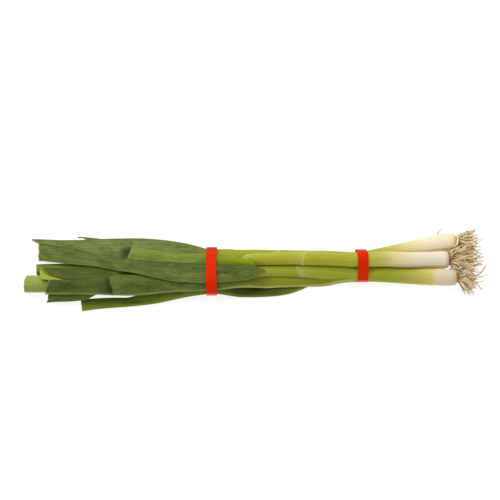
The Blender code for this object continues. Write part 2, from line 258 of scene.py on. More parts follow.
@dataclass(frozen=True)
class ShankFinish(Finish):
    """A stem that goes from green sheaths at the leaf end to a white bulb."""

    white: tuple = (232, 224, 200)
    cream: tuple = (226, 212, 158)
    lime: tuple = (192, 187, 84)
    green: tuple = (152, 158, 26)

    def make(self, node: str) -> bpy.types.Material:
        """Build the material; it reads the vertex numbers age, edge, soil, warm, across and along."""
        g = Graph(f"{node}_finish")
        age, edge, soil, base_colour_and_flank_shade = (g.attribute(n) for n in ("age", "edge", "soil", "base_colour_and_flank_shade"))
        across, along = g.attribute("across"), g.attribute("along")
        streak = g.noise(g.vector(along * 0.012, across * 1.0, 1.0), 1.3, 3.0)
        fine = g.noise(g.vector(along * 0.02, across * 2.4, 5.0), 2.0, 2.0)
        cloud = g.noise(g.vector(along * 0.06, across * 0.22, 9.0), 1.0, 3.0)
        shade = age + (streak - 0.5) * 0.26 + (cloud - 0.5) * 0.14
        colour = g.mix(shade.step(0.02, 0.3), paint(*self.white), paint(*self.cream))
        colour = g.mix(shade.step(0.22, 0.62), colour, paint(*self.lime))
        colour = g.mix(shade.step(0.5, 1.0), colour, paint(*self.green))
        dark = paint(*[c * 0.8 for c in self.green])
        colour = g.mix(fine.step(0.42, 0.75) * 0.4 * shade.step(0.3, 0.8), colour, dark)
        pale = streak.step(0.5, 0.72) * shade.step(0.35, 0.8) * 0.4
        colour = g.mix(pale, colour, paint(*[c * 1.04 for c in self.lime]))
        colour = g.mix(edge * 0.75, colour, paint(226, 222, 170))
        # The stem's own light brown at the base, and painted shade in the same light brown on the front lower
        # flank by the bulb.
        colour = g.mix(base_colour_and_flank_shade, colour, paint(204, 156, 86))
        colour = g.mix(soil, colour, paint(150, 108, 56))
        return g.finish(
            Base_Color=colour,
            Roughness=0.4 + fine * 0.14,
            Specular_IOR_Level=0.22,
            Subsurface_Weight=0.25,
            Subsurface_Radius=(0.004, 0.003, 0.0012),
            Subsurface_Scale=0.6,
            Normal=g.bump(streak * 0.5 + fine * 0.5, 0.35, 0.16),
        )


@dataclass(frozen=True)
class RootFinish(Finish):
    """Dry straw-coloured roots and the corky plate that they grow from."""

    light: tuple = (255, 240, 194)
    dark: tuple = (152, 114, 56)

    def make(self, node: str) -> bpy.types.Material:
        """Build the material; it reads the vertex number age."""
        g = Graph(f"{node}_finish")
        age = g.attribute("age")
        grain = g.noise(g.place(260.0, 260.0, 260.0), 1.0, 3.0)
        # Dark where age is low, which for the roots includes the painted shade towards the plate.
        colour = g.mix(age + (grain - 0.5) * 0.5, paint(*self.dark), paint(*self.light))
        return g.finish(Base_Color=colour, Roughness=0.72, Normal=g.bump(grain, 0.4, 0.15))


@dataclass(frozen=True)
class RubberFinish(Finish):
    """Flat red rubber with a soft sheen."""

    red: tuple = (218, 42, 0)
    # The colour of the painted shade towards the back of the band.
    painted_back_shade: tuple = (168, 44, 8)
    # The colour of the painted reflection of the white floor along the band's lowest front edge.
    painted_floor_reflection: tuple = (238, 172, 148)

    def make(self, node: str) -> bpy.types.Material:
        """Build the material with faint mottling, painted shade towards the back of the band and a painted
        reflection of the white floor along its lowest front edge.
        """
        g = Graph(f"{node}_finish")
        cloud = g.noise(g.place(120.0, 120.0, 120.0), 1.0, 3.0)
        grain = g.noise(g.place(1500.0, 1500.0, 1500.0), 1.0, 2.0)
        colour = g.mix(cloud.step(0.3, 0.8) * 0.4, paint(*self.red), paint(200, 34, 0))
        # Painted shade: darker towards the back of the loop.
        colour = g.mix(g.attribute("painted_back_shade"), colour, paint(*self.painted_back_shade))
        # Painted reflection of the white floor along the lowest front edge.
        colour = g.mix(g.attribute("painted_floor_reflection"), colour, paint(*self.painted_floor_reflection))
        rough, bump = 0.5 + cloud * 0.12, g.bump(grain, 0.2, 0.05)
        return g.finish(Base_Color=colour, Roughness=rough, Specular_IOR_Level=0.04, Normal=bump)


# ---------------------------------------------------------------- surfaces


def ease(value: Array, low: float, high: float) -> Array:
    """A smooth rise from 0 at low to 1 at high: 3t^2 - 2t^3 of the clipped fraction t."""
    t = np.clip((value - low) / (high - low), 0.0, 1.0)
    return t * t * (3 - 2 * t)


def bell(value: Array, centre: float, width: float) -> Array:
    """A smooth bump of height 1: e to the minus squared distance over the width."""
    return np.exp(-(((value - centre) / width) ** 2))


def waves(value: Array, seed: int, count: int = 5) -> Array:
    """A smooth irregular curve in -1 to 1: a sum of sines whose pace and start come from a seed."""
    rng = np.random.default_rng(seed)
    total = np.zeros_like(value, dtype=float)
    for k in range(count):
        pace, begin = 1.0 + k * rng.uniform(0.6, 1.1), rng.uniform(0, 6.28)
        total = total + np.sin(value * pace + begin) / (1 + 0.6 * k)
    return total / 2.4


def corners_of(node: str) -> Array:
    """The corners of a solid's mesh, in millimetres."""
    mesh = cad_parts[node].data
    points = np.empty(len(mesh.vertices) * 3)
    mesh.vertices.foreach_get("co", points)
    return points.reshape(-1, 3) / MM


@dataclass(frozen=True)
class Sections:
    """The cross-sections of one lofted solid, read from its mesh and smoothed along its length.

    Attributes:
        x: Even positions along the solid, in millimetres.
        middle: The Y of the section's middle at each position.
        half: Half the section's width.
        rise: Heights of the section's mid-line, from its front edge to its back edge.
        thick: The section's thickness.
    """

    x: Array
    middle: Array
    half: Array
    rise: Array
    thick: Array
    ring: int = 20
    fine: int = 420

    @classmethod
    def of(cls, node: str) -> "Sections":
        """Read the rings of a node: twenty points in each plane of X, a pair at each width."""
        points = np.unique(np.round(corners_of(node), 4), axis=0)
        points = points[np.argsort(points[:, 0], kind="stable")]
        group = np.concatenate([[0], np.cumsum(np.diff(points[:, 0]) > 0.05)])
        sizes = np.bincount(group)
        whole = points[(sizes >= cls.ring)[group]]
        names = group[(sizes >= cls.ring)[group]]
        order = np.lexsort((whole[:, 1], names))
        rings = whole[order].reshape(-1, cls.ring, 3)
        x, y, z = rings[:, :, 0].mean(axis=1), rings[:, :, 1], rings[:, :, 2]
        pairs = z[:, 1:-1].reshape(len(z), -1, 2)
        centre = pairs.mean(axis=2)
        rise = np.concatenate([z[:, :1], centre, z[:, -1:]], axis=1)
        thick = np.abs(pairs[:, :, 1] - pairs[:, :, 0]).max(axis=1)
        even = np.linspace(x[0], x[-1], cls.fine)
        rise = np.stack([smooth_through(x, rise[:, k], even) for k in range(rise.shape[1])], axis=1)
        return cls(
            even,
            smooth_through(x, (y[:, 0] + y[:, -1]) / 2, even),
            smooth_through(x, (y[:, -1] - y[:, 0]) / 2, even),
            rise,
            smooth_through(x, thick, even),
        )

    def at(self, x: Array, turn: Array) -> tuple[Array, Array, Array, Array]:
        """Middle, half width, mid-line height and thickness, for arrays of positions and turns.

        Args:
            x: Positions along the solid.
            turn: 0 at the front edge to pi at the back edge.
        Returns:
            Four arrays of the same shape as x.
        """
        column = np.clip(turn / math.pi, 0, 1) * (self.rise.shape[1] - 1)
        row = np.clip((x - self.x[0]) / (self.x[-1] - self.x[0]), 0, 1) * (len(self.x) - 1)
        i = np.minimum(row.astype(int), len(self.x) - 2)
        j = np.minimum(column.astype(int), self.rise.shape[1] - 2)
        s, t = row - i, column - j
        t = t * t * (3 - 2 * t) * 0.5 + t * 0.5
        near = self.rise[i, j] * (1 - t) + self.rise[i, j + 1] * t
        far = self.rise[i + 1, j] * (1 - t) + self.rise[i + 1, j + 1] * t
        along = [values[i] * (1 - s) + values[i + 1] * s for values in (self.middle, self.half, self.thick)]
        return along[0], along[1], near * (1 - s) + far * s, along[2]


def smooth_through(at: Array, values: Array, wanted: Array) -> Array:
    """Values on a cubic curve through points, whose slope at each point is that of its neighbours."""
    slopes = np.gradient(values, at)
    i = np.clip(np.searchsorted(at, wanted, side="right") - 1, 0, len(at) - 2)
    span = at[i + 1] - at[i]
    t = (wanted - at[i]) / span
    return (
        (2 * t**3 - 3 * t**2 + 1) * values[i]
        + (t**3 - 2 * t**2 + t) * span * slopes[i]
        + (3 * t**2 - 2 * t**3) * values[i + 1]
        + (t**3 - t**2) * span * slopes[i + 1]
    )


@dataclass
class Skin:
    """A closed surface made of rings, from a pole at one end to a pole at the other.

    Attributes:
        rings: Points of shape (rings, points round, 3), in millimetres.
        numbers: Values for the shader, each of shape (rings, points round).
    """

    rings: Array
    numbers: dict[str, Array]

    def build(self, node: str, finish: Finish) -> bpy.types.Object:
        """Make the piece that stands for a node, closed at both ends and facing outward."""
        rows, count = self.rings.shape[:2]
        poles = np.stack([self.rings[0].mean(axis=0), self.rings[-1].mean(axis=0)])
        points = np.vstack([self.rings.reshape(-1, 3), poles])
        numbers = {}
        for key, values in self.numbers.items():
            ends = [values[0].mean(), values[-1].mean()]
            numbers[key] = np.concatenate([values.ravel(), ends])
        return solid(node, "skin", points, tube_faces(rows, count), numbers, finish)


def grid_quads(rows: int, count: int, closed: bool = False) -> Array:
    """The quads between rings of points, and between the last ring and the first if the rings close up."""
    i, j = np.meshgrid(np.arange(rows if closed else rows - 1), np.arange(count), indexing="ij")
    n, k = (i + 1) % rows, (j + 1) % count
    return np.stack([i * count + j, i * count + k, n * count + k, n * count + j], axis=2).reshape(-1, 4)


def tube_faces(rows: int, count: int) -> list[Array]:
    """The faces of a tube of rings, closed by two poles that come last: its quads, then its two caps."""
    ring, after = np.arange(count), (np.arange(count) + 1) % count
    last, pole = (rows - 1) * count, np.full(count, rows * count)
    caps = [np.stack([after, ring, pole], axis=1), np.stack([last + ring, last + after, pole + 1], axis=1)]
    return [grid_quads(rows, count), *caps]


def solid(
    node: str, kind: str, points: Array, faces: Sequence[Array], numbers: dict[str, Array], finish: Finish
) -> bpy.types.Object:
    """Put points and faces into one smooth object that stands for a node, with its faces turned outward.

    Args:
        node: The solid that the piece stands for.
        kind: What the piece is called after its node.
        points: Positions in millimetres.
        faces: Arrays of corner indices, one array for each face size.
        numbers: Values for the shader at every point.
        finish: The look of the piece.
    Returns:
        The object, linked to the scene and dressed.
    """
    volume = 0.0
    for block in faces:
        for k in range(1, block.shape[1] - 1):
            a, b, c = points[block[:, 0]], points[block[:, k]], points[block[:, k + 1]]
            volume += float(np.einsum("ij,ij->i", a, np.cross(b, c)).sum())
    lists = [(block if volume > 0 else block[:, ::-1]).tolist() for block in faces]
    mesh = bpy.data.meshes.new(f"{node}_{kind}")
    mesh.from_pydata((points * MM).tolist(), [], [f for block in lists for f in block])
    mesh.polygons.foreach_set("use_smooth", np.ones(len(mesh.polygons), dtype=bool))
    for key, values in numbers.items():
        held = mesh.attributes.new(key, "FLOAT", "POINT")
        held.data.foreach_set("value", np.asarray(values, dtype=np.float32))
    mesh.materials.append(finish.make(node))
    mesh.update()
    made = bpy.data.objects.new(mesh.name, mesh)
    bpy.context.scene.collection.objects.link(made)
    dress(made, node)
    return made


def dress(piece: bpy.types.Object, node: str) -> None:
    """Let a piece stand for a solid: it rides on the bunch, and the solid is hidden."""
    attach(piece, BODY)
    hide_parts(node)


# ---------------------------------------------------------------- leaves


@dataclass(frozen=True)
class Cut:
    """How a leaf was cut at its free end.

    Attributes:
        lean: How much further along X the cut lies at the front edge than at the back edge, in mm.
        ragged: The size of its small irregularities, in mm.
        upper: How far the upper wall is torn back behind the lower one at the front and at the back, in mm.
        curl: How far the end of the leaf lifts, in mm.
        trim: How much shorter than its solid the leaf is, in mm.
        tip: How far the back corner is drawn out beyond the rest, in mm.
    """

    lean: float = 0.0
    ragged: float = 0.4
    upper: tuple[float, float] = (0.0, 0.0)
    curl: float = 0.0
    trim: float = 0.0
    tip: float = 0.0


@dataclass(frozen=True)
class Crease:
    """A sharp bend or dent across a leaf.

    Attributes:
        x: Where it crosses the middle of the leaf.
        depth: How deep it is, in mm; a negative depth is a ridge.
        width: How far it reaches along the leaf.
        slant: How far along X it moves from the front edge to the back edge.
        part: The part of the width that it covers: centre and reach, from -1 at the front to 1 at the back.
        shade: How dark the painted shade on its shaded side is; its other side gets a fainter painted
            highlight.
    """

    x: float
    depth: float
    width: float
    slant: float = 0.0
    part: tuple[float, float] = (0.0, 2.0)
    shade: float = 0.5


@dataclass(frozen=True)
class LeafLook:
    """What sets one leaf apart from the others.

    Attributes:
        node: The solid that the leaf stands for.
        finish: Its colours.
        cut: Its free end.
        wall: The thickness of its flesh, in mm.
        young: Where along X the blade has turned from dark to young green, start and end.
        oldest: The highest age, 1 for a fully dark blade.
        ridge: A lengthwise fold: its place across the leaf and its height in mm.
        creases: Bends across the leaf.
        rims: How pale the front and back edges are.
        rim_width: How wide those pale edges are, in mm.
        painted_edge_shade: How dark the painted shade is in the strips just inside the front and back edges.
        shaded: A stretch of painted shade on the blade: its middle along X, its reach and how dark it is.
        collar: How much further along X the collar lies at the back edge than at the front, in mm.
        tail: How far it runs past its solid at the collar, and how far its front edge droops there.
        flare: Where along X the back edge starts to stand out from the solid, and how far, in mm.
        sink: How far its last stretch sinks into the stem, in mm.
        seed: Sets its small irregularities.
    """

    node: str
    finish: LeafFinish
    cut: Cut = Cut()
    wall: float = 0.55
    young: tuple[float, float] = (60.0, 120.0)
    oldest: float = 1.0
    ridge: tuple[float, float] = (0.0, 0.0)
    creases: tuple[Crease, ...] = ()
    rims: tuple[float, float] = (0.5, 0.5)
    rim_width: float = 0.6
    painted_edge_shade: tuple[float, float] = (0.0, 0.0)
    shaded: tuple[float, float, float] = (0.0, 1.0, 0.0)
    collar: float = 0.0
    tail: tuple[float, float] = (0.0, 0.0)
    flare: tuple[float, float] = (0.0, 0.0)
    sink: float = 0.0
    seed: int = 1


@dataclass
class Leaf:
    """One hollow leaf: an outer wall, a cut rim and an inner wall that goes some way in."""

    look: LeafLook
    rows: int = 230
    around: int = 84
    hollow: float = 34.0

    def surface(self, x: Array, angle: Array, inset: Array) -> Array:
        """Points of the leaf's wall.

        The section is a flat loop: its width follows the cosine of the angle and its thickness the sine,
        both less the inset. The loop is centred on the solid's mid-line, which folds and creases then move.
        A leaf with a slanting collar closes down on the stem at its end.

        Args:
            x: Positions along the leaf.
            angle: 0 at the back edge, over the top to pi at the front edge, and back underneath.
            inset: How far inside the outer wall, in mm.
        Returns:
            Points of shape (..., 3).
        """
        turn = np.arccos(np.clip(-np.cos(angle), -1, 1))
        middle, half, rise, thick = self.sections.at(x, turn)
        flare = self.look.flare[1] * ease(x, self.look.flare[0] - 8, self.look.flare[0] + 8) / 2
        middle, half = middle + flare, half + flare
        wide = np.maximum(half - inset * 1.2, half * 0.4)
        closing = 0.85 * ease(x, self.end - 2, self.end + self.look.tail[0]) * (self.look.collar != 0)
        tall = np.maximum((thick / 2 - inset) * (1 - closing), 0.06)
        across = np.cos(angle)
        y = middle + wide * across
        z = rise + tall * np.sin(angle) + self.folds(x, across, np.sin(angle))
        return np.stack([x, y, z], axis=-1)

    def folds(self, x: Array, across: Array, side: Array) -> Array:
        """How far folds and creases move the wall up: bells across the leaf and along it."""
        look, upper = self.look, np.clip(side + 0.4, 0, 1)
        moved = look.ridge[1] * (1 - np.abs(across - look.ridge[0])).clip(0, 1) ** 2 * upper
        for crease in look.creases:
            place = x - crease.x - crease.slant * across / 2
            reach = bell(across, *crease.part)
            dent = np.exp(-np.abs(place) / crease.width) - 0.45 * bell(place, 0, crease.width * 3)
            moved = moved - crease.depth * dent * reach * upper
        lift = look.cut.curl * ease(-x, -self.start - 22, -self.start) * np.abs(across) ** 2
        lift = lift - look.tail[1] * ease(x, self.end - 50, self.end - 16) * (1 - across) / 2
        lift = lift - look.sink * ease(x, self.end - 14, self.end + look.tail[0])
        wave = 0.16 * waves(x * 0.05 + across * 1.2, look.seed)
        wave = wave + 0.08 * waves(x * 0.16 - across * 2.0, look.seed + 1)
        return moved + lift + wave * upper

    def build(self) -> bpy.types.Object:
        """Make the leaf and let it stand for its solid."""
        self.sections = Sections.of(self.look.node)
        cut = self.look.cut
        self.start, self.end = float(self.sections.x[0]), float(self.sections.x[-1])
        end = self.end + self.look.tail[0]
        angle = np.linspace(0, 2 * math.pi, self.around, endpoint=False)
        across, side = np.cos(angle), np.sin(angle)
        front, back = cut.upper
        torn = (back + (front - back) * ((1 - across) / 2) ** 3) * ease(side, -0.05, 0.35)
        edge = self.start + cut.trim - cut.lean * across / 2 + abs(cut.lean) / 2 + torn
        edge = edge - cut.tip * ease(across, 0.35, 1.0) ** 1.5
        edge = edge + cut.ragged * waves(angle * 3.0, self.look.seed + 3)
        outer = np.linspace(1, 0, self.rows) ** 1.15
        collar = end - abs(self.look.collar) / 2 + self.look.collar * across / 2
        x_out = edge + (collar - edge) * outer[:, None]
        depth = np.array([0.0, 0.25, 1.0, 3.0, 7.0, 14.0, 24.0, 1.0 * self.hollow])
        x_in = edge + depth[:, None]
        x = np.vstack([x_out, edge[None, :] - 0.12, x_in])
        angles = np.broadcast_to(angle, x.shape)
        wall = self.look.wall
        inset = np.concatenate([np.zeros(self.rows), [wall * 0.45], np.full(len(depth), wall)])
        inset[self.rows - 1] = wall * 0.1
        points = self.surface(x, angles, np.broadcast_to(inset[:, None], x.shape))
        return Skin(points, self.numbers(x, angles, edge)).build(self.look.node, self.look.finish)

    def shade(self, x: Array, across: Array, side: Array) -> Array:
        """Painted shade on the upper side: bells beside creases, inside the edges and over the shaded part,
        less where a painted highlight lies just past a crease.
        """
        look = self.look
        # Painted shade in strips just inside the front and back edges.
        strength = np.where(across < 0, look.painted_edge_shade[0], look.painted_edge_shade[1])
        inside = strength * bell(np.abs(across), 0.9, 0.09)
        total = inside * (0.8 + 0.2 * waves(x * 0.1, look.seed + 8))
        # Painted shade over one stretch of the blade.
        total = total + look.shaded[2] * bell(x, look.shaded[0], look.shaded[1])
        for crease in look.creases:
            place = x - crease.x - crease.slant * across / 2
            # Painted shade before each crease, and a fainter painted highlight just past it.
            left = np.where(place < 0, bell(place, 0, crease.width * 1.3), bell(place, 0, 0.5))
            right = ease(place, 0.0, 1.2) * bell(place, 0, crease.width * 2.5)
            total = total + crease.shade * (left - 0.6 * right) * bell(across, *crease.part)
        return np.clip(total, -1, 1) * (side > -0.3)

    def numbers(self, x: Array, angle: Array, edge: Array) -> dict[str, Array]:
        """The shader's numbers: age along the blade, pale rims, painted shade and highlight, inner side, and
        places across and along.
        """
        across = np.cos(angle)
        turn = np.arccos(np.clip(-across, -1, 1))
        _, half, _, _ = self.sections.at(x, turn)
        inner = np.zeros_like(x)
        inner[self.rows :] = 1.0
        inner[self.rows - 1] = 0.35
        age = self.look.oldest * (1 - ease(x, *self.look.young))
        wander = 0.75 + 0.25 * waves(x * 0.08, self.look.seed + 5)
        from_edge = (1 - np.abs(across)) * half / self.look.rim_width
        rim = np.where(across < 0, self.look.rims[0], self.look.rims[1]) * (1 - ease(from_edge, 0.2, 1.0))
        cut_rim = 0.35 * ease(-(x - edge), -1.2, -0.1) * (inner < 0.5)
        return {
            "age": age,
            "rim": np.clip(rim * wander * (1 - 0.55 * age) + cut_rim, 0, 1),
            "shade": self.shade(x, across, np.sin(angle)),
            "inner": inner,
            "across": (turn / math.pi - 0.5) * half * 2.4,
            "along": x,
        }


# ---------------------------------------------------------------- stems, roots and bands


@dataclass(frozen=True)
class SheathEdge:
    """Where an outer sheath ends on a stem, as an oblique step in its surface.

    Attributes:
        x: Where the edge crosses the top of the stem.
        slant: How far along X the edge moves from the front of the stem to its back.
        step: How far the sheath stands out, in mm.
        towards_base: Whether the sheath lies on the base side of the edge.
        pale: How pale its rim is.
        halo: How far a paler patch reaches towards the base, in mm, or away from it if negative.
    """

    x: float
    slant: float
    step: float = 0.3
    towards_base: bool = True
    pale: float = 1.0
    halo: float = 0.0

    def place(self, x: Array, angle: Array) -> Array:
        """Distance along X from the edge, which wanders a little round the stem."""
        line = self.x + self.slant * np.cos(angle) / 2 + 0.7 * waves(angle * 2.0, int(abs(self.x)))
        return x - line

    def paleness(self, x: Array, angle: Array) -> Array:
        """How pale the skin is: most at the rim, fading exponentially, and slower on the halo's side."""
        place = self.place(x, angle)
        rim = self.pale * np.exp(-np.abs(place) / 0.45)
        if not self.halo:
            return rim
        far = place * math.copysign(1.0, self.halo)
        patch = np.where(far > 0, np.exp(-far / abs(self.halo)), 0) * (0.6 + 0.4 * waves(angle * 9.0, 4))
        return np.maximum(rim, 0.4 * patch)


@dataclass(frozen=True)
class ShankLook:
    """What sets one stem apart.

    Attributes:
        node: The solid that the stem stands for.
        green: Where along X it starts and stops to turn from green to white.
        edges: Its sheath edges.
        finish: Its colours.
        tan: How strong the painted shade is, in a light brown, on its front lower flank by the bulb.
        scrap: A scrap of torn skin: where along X, the angle round the stem, and its size in mm.
        seed: Sets its small irregularities.
    """

    node: str
    green: tuple[float, float]
    edges: tuple[SheathEdge, ...] = ()
    finish: ShankFinish = ShankFinish()
    tan: float = 0.85
    scrap: tuple[float, float, float] = (0.0, 0.0, 0.0)
    seed: int = 1


@dataclass
class Shank:
    """A pseudostem with its bulb, layered in sheaths."""

    look: ShankLook
    rows: int = 300
    around: int = 96

    def build(self) -> bpy.types.Object:
        """Make the stem: rings of the solid's own radius, with steps, faint ribs and a rounded base."""
        sections = Sections.of(self.look.node)
        s = np.linspace(0, 1, self.rows)
        s = s + 0.06 * np.sin(math.pi * s)
        along = sections.x[0] + (sections.x[-1] - sections.x[0]) * s / s[-1]
        angle = np.linspace(0, 2 * math.pi, self.around, endpoint=False)
        x = np.broadcast_to(along[:, None], (self.rows, self.around))
        angles = np.broadcast_to(angle, x.shape)
        turn = np.arccos(np.clip(-np.cos(angles), -1, 1))
        middle, half, rise, thick = sections.at(x, turn)
        swell = self.steps(x, angles)
        ribs = 0.05 * np.sin(angles * 17 + 0.4 * waves(x * 0.02, self.look.seed)) + 0.1 * waves(
            angles * 2 + x * 0.01, self.look.seed + 2
        ) * ease(-x, -150, -60)
        grow = 1 + (swell + ribs - 0.25) / np.maximum(half, 1)
        centre = rise.mean(axis=1, keepdims=True)
        y = middle + half * grow * np.cos(angles)
        z = centre + thick / 2 * grow * np.sin(angles)
        numbers = self.numbers(x, angles, half, sections.x[-1])
        return Skin(np.stack([x, y, z], axis=-1), numbers).build(self.look.node, self.look.finish)

    def torn(self, x: Array, angle: Array, half: Array) -> Array:
        """A ragged scrap of dry skin: a bell of the distance from its middle, broken up by waves."""
        where, turn, size = self.look.scrap
        away = np.hypot(x - where, (angle - turn) * half)
        return bell(away, 0, max(size, 0.01)) * (0.75 + 0.5 * waves(x * 2.5 + angle * 14.0, 31))

    def steps(self, x: Array, angle: Array) -> Array:
        """How far the sheaths stand out: each edge is a short smooth step."""
        total = np.zeros_like(x)
        for edge in self.look.edges:
            place = edge.place(x, angle) * (1 if edge.towards_base else -1)
            total = total + edge.step * ease(place, -0.35, 0.35)
        return total + 0.45 * self.torn(x, angle, np.full_like(x, 6.0))

    def numbers(self, x: Array, angle: Array, half: Array, base: float) -> dict[str, Array]:
        """The shader's numbers: greenness, pale sheath edges, soil by the base, a light brown at the base
        with painted shade on the front lower flank, and places.
        """
        age = 1 - ease(x, self.look.green[0], self.look.green[1])
        edge = np.zeros_like(x)
        for found in self.look.edges:
            edge = np.maximum(edge, found.paleness(x, angle))
            if not found.towards_base:
                age = age * (1 - 0.85 * ease(found.place(x, angle), -0.4, 0.8))
        edge = np.maximum(edge, self.torn(x, angle, half))
        soil = 0.9 * ease(x, base - 1.6, base - 0.1) * (0.6 + 0.4 * waves(angle * 4.0, self.look.seed))
        # Painted shade, in a light brown, on the front lower side of the bulb, where it lies against the next
        # one; the light brown at the very base is the stem's own colour.
        front = -np.cos(angle) * 0.87 - np.sin(angle) * 0.5
        flank = ease(front, 0.45, 0.95) * ease(x, base - 75, base - 25) * self.look.tan
        base_colour_and_flank_shade = np.maximum(flank, 0.5 * ease(x, base - 6.0, base - 0.5))
        return {
            "age": age,
            "edge": np.clip(edge, 0, 1),
            "soil": np.clip(soil, 0, 1),
            "base_colour_and_flank_shade": base_colour_and_flank_shade,
            "across": np.abs(angle - math.pi) * half,
            "along": x,
        }


@dataclass
class RootPlate:
    """The corky disc that the roots grow from."""

    side: str

    def build(self) -> bpy.types.Object:
        """Make the disc, knobbly where the roots leave it."""
        node = f"root_plate_{self.side}"
        sections = Sections.of(node)
        x = np.broadcast_to(np.linspace(sections.x[0], sections.x[-1], 14)[:, None], (14, 64))
        angle = np.broadcast_to(np.linspace(0, 2 * math.pi, 64, endpoint=False), x.shape)
        middle, half, rise, thick = sections.at(x, np.arccos(np.clip(-np.cos(angle), -1, 1)))
        knobs = 1 + 0.05 * np.sin(angle * 11) * np.sin((x - x.min()) * 2.1)
        y = middle + half * knobs * np.cos(angle)
        z = rise.mean(axis=1, keepdims=True) + thick / 2 * knobs * np.sin(angle)
        numbers = {"age": 0.1 + 0.2 * np.sin(angle * 5) ** 2}
        finish = RootFinish(light=(205, 180, 130), dark=(128, 92, 50))
        return Skin(np.stack([x, y, z], axis=-1), numbers).build(node, finish)


@dataclass(frozen=True)
class Strand:
    """One given root: the points that it passes through and its thickness at the plate, in mm."""

    through: tuple[tuple[float, float, float], ...]
    thick: float = 0.8


@dataclass(frozen=True)
class Fan:
    """One spray of roots.

    Attributes:
        count: How many roots it has.
        reach: The length of its longest root, in mm.
        aim: How far its middle turns towards +Y and +Z, as slopes.
        spread: How far single roots stray from that, as slopes.
        thick: The thinnest and thickest root, in mm.
    """

    count: int
    reach: float
    aim: tuple[float, float]
    spread: tuple[float, float] = (0.3, 0.2)
    thick: tuple[float, float] = (0.65, 1.45)


@dataclass
class Roots:
    """A tuft of dry curly roots that fan out from a root plate and droop to the floor.

    Attributes:
        side: Which onion it belongs to.
        fans: Its sprays of scattered roots.
        strands: Its roots with a place of their own.
        seed: Sets the scattered roots.
        steps: The points along each root.
        sides: The corners of each root's section.
        wide: The least and greatest Y that a root may reach, in mm.
        high: The least and greatest height that a root may reach, in mm.
        firm: How sharply a root bends away from those limits.
    """

    side: str
    fans: tuple[Fan, ...]
    strands: tuple[Strand, ...] = ()
    seed: int = 1
    steps: int = 16
    sides: int = 6
    wide: tuple[float, float] = (-36.0, 39.3)
    high: tuple[float, float] = (0.7, 25.5)
    firm: float = 2.0

    def build(self) -> bpy.types.Object:
        """Make every root as one thin tapering tube, all in one mesh."""
        rng = np.random.default_rng(self.seed)
        plate = Sections.of(f"root_plate_{self.side}")
        sprays = [self.scattered(rng, plate, fan) for fan in self.fans]
        paths = np.concatenate([spray[0] for spray in sprays])
        thick = np.concatenate([spray[1] for spray in sprays])
        for strand in self.strands:
            paths = np.concatenate([paths, resampled(np.array(strand.through), self.steps)[None]])
            thick = np.append(thick, strand.thick)
        points, faces, age = tubes(self.kept_in(paths), thick, self.sides, rng)
        return solid(f"roots_{self.side}", "strands", points, faces, {"age": age}, RootFinish())

    def scattered(self, rng: np.random.Generator, plate: Sections, fan: Fan) -> tuple[Array, Array]:
        """Roots at random places on the plate, bent outward and curled.

        Each root is a straight run along its own direction, plus a bow that grows with the square of the
        distance, plus a curl: two sines of the distance across it, of which the second is short.
        """
        n, t = fan.count, np.linspace(0, 1, self.steps)
        ring = rng.uniform(0, 2 * math.pi, n)
        out = np.sqrt(rng.uniform(0, 1, n))
        centre = np.array([plate.x[-1] - 0.8, plate.middle[-1], plate.rise[-1].mean()])
        wide = 0.9 * plate.half[0] * out
        start = centre + np.stack([-0.9 * out, wide * np.cos(ring), wide * np.sin(ring)], axis=1)
        length = fan.reach * rng.uniform(0.4, 1.0, n) ** 0.7
        turn_y = 0.45 * out * np.cos(ring) + rng.normal(fan.aim[0], fan.spread[0], n)
        turn_z = 0.35 * out * np.sin(ring) + rng.normal(fan.aim[1], fan.spread[1], n)
        way = np.stack([np.ones(n), turn_y, turn_z], axis=1)
        way /= np.linalg.norm(way, axis=1)[:, None]
        paths = start[:, None, :] + way[:, None, :] * (length[:, None] * t)[:, :, None]
        for axis, size in ((1, 0.10), (2, 0.08), (0, 0.04)):
            for pace, part in (((2.5, 6.0), 1.0), ((9.0, 16.0), 0.28)):
                speed, begin = rng.uniform(*pace, (n, 1)), rng.uniform(0, 6.28, (n, 1))
                curl = np.sin(speed * t + begin) - np.sin(begin)
                reach = curl * size * part * length[:, None] * rng.uniform(0.4, 1.4, (n, 1))
                paths[:, :, axis] += reach * t
        paths[:, :, 1] += rng.normal(0, 0.2, (n, 1)) * length[:, None] * t**2
        paths[:, :, 2] += rng.normal(-0.08, 0.1, (n, 1)) * length[:, None] * t**2
        return paths, rng.uniform(*fan.thick, n)

    def kept_in(self, paths: Array) -> Array:
        """The paths, bent softly away from the floor and from the limits of width and height."""
        paths = paths.copy()
        for axis, (low, high) in ((1, self.wide), (2, self.high)):
            value = low + np.logaddexp(0, (paths[:, :, axis] - low) * self.firm) / self.firm
            paths[:, :, axis] = high - np.logaddexp(0, (high - value) * self.firm) / self.firm
        return paths


def resampled(points: Array, count: int) -> Array:
    """Even points on a smooth curve through a few points."""
    length = np.concatenate([[0], np.cumsum(np.linalg.norm(np.diff(points, axis=0), axis=1))])
    wanted = np.linspace(0, length[-1], count)
    return np.stack([smooth_through(length, points[:, k], wanted) for k in range(3)], axis=1)


